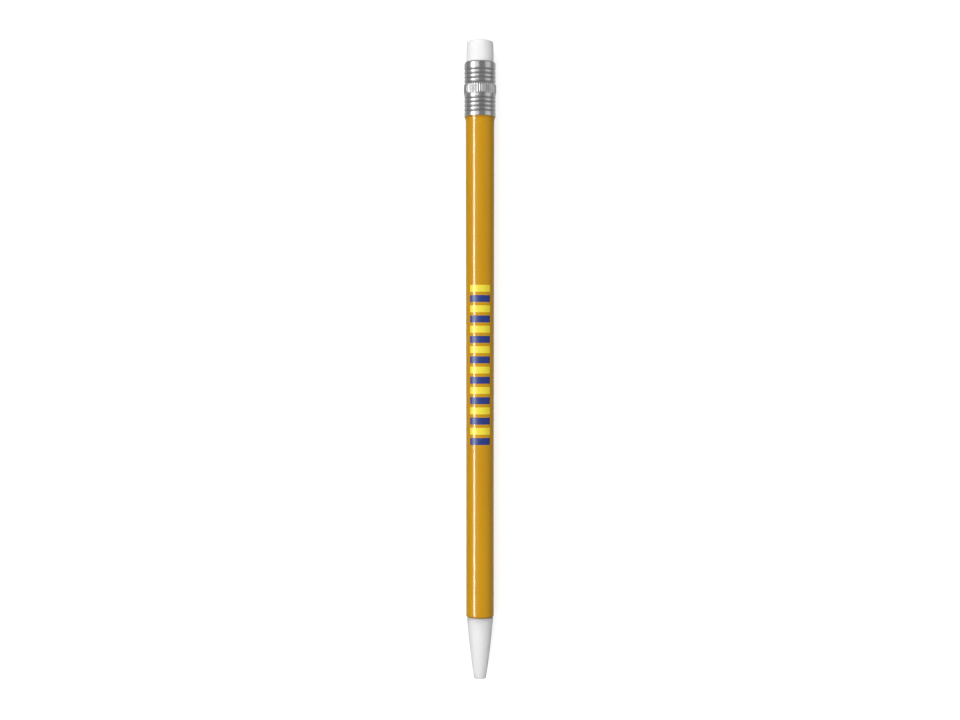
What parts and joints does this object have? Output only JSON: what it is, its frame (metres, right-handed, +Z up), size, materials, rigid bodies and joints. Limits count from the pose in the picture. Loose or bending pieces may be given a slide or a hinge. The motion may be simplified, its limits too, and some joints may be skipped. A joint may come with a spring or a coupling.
{
  "type": "mechanical pencil",
  "caption": "Slim round twist-feed mechanical pencil with an ochre barrel, pale turning nose cone, crimped aluminium ferrule and white eraser.",
  "frame": {"origin": "middle of the pencil's length, on the surface it lies on: directly below the centre line, at the height of the ferrule's lowest point", "axes": "X along the pencil, the tip towards -X and the eraser towards +X; +Z up from the surface it lies on; Y across"},
  "size_m": [0.176, 0.009, 0.009],
  "materials": {
    "barrel_plastic": "glossy ochre moulded plastic",
    "ferrule_metal": "bright rolled aluminium",
    "eraser_rubber": "matt white vinyl",
    "nose_plastic": "satin pale grey-white plastic",
    "plug_plastic": "matt off-white plastic",
    "sleeve_plastic": "matt natural plastic",
    "tube_plastic": "matt dark grey plastic",
    "carrier_plastic": "matt white acetal",
    "ring_rubber": "black rubber",
    "washer_plastic": "matt slippery plastic",
    "spring_steel": "drawn spring wire",
    "pin_steel": "drawn steel wire",
    "cup_brass": "turned brass",
    "graphite": "dark graphite lead"
  },
  "bodies": {
    "barrel_assembly": {"barrel": "barrel_plastic", "barrel_plug": "plug_plastic", "ferrule": "ferrule_metal", "eraser": "eraser_rubber", "spiral_sleeve": "sleeve_plastic"},
    "nose_assembly": {"nose_cone": "nose_plastic", "friction_ring": "ring_rubber", "guide_tube": "tube_plastic", "tube_cap": "tube_plastic", "front_washer": "washer_plastic", "rear_washer": "washer_plastic"},
    "carrier": {"carrier_body": "carrier_plastic", "carrier_cap": "carrier_plastic", "cushion_spring": "spring_steel"},
    "lead_train": {"push_pin": "pin_steel", "lead_cup": "cup_brass", "lead": "graphite"}
  },
  "joints": [
    {"name": "nose_turn", "type": "hinge", "parent": "barrel_assembly", "child": "nose_assembly", "pos_m": [-0.071, 0, 0.00448], "axis": [-1, 0, 0], "range_deg": [0, 3745]},
    {"name": "lead_feed", "type": "slide", "parent": "nose_assembly", "child": "carrier", "axis": [-1, 0, 0], "range_m": [0, 0.052]},
    {"name": "lead_cushion", "type": "slide", "parent": "carrier", "child": "lead_train", "axis": [1, 0, 0], "range_m": [0, 0.0008], "stiffness_N_per_m": 900, "springref_m": -0.0012, "deforming": ["cushion_spring"]}
  ],
  "couplings": [
    {"joint": "nose_turn", "follows": "lead_feed", "rad_per_m": 1256.6}
  ]
}
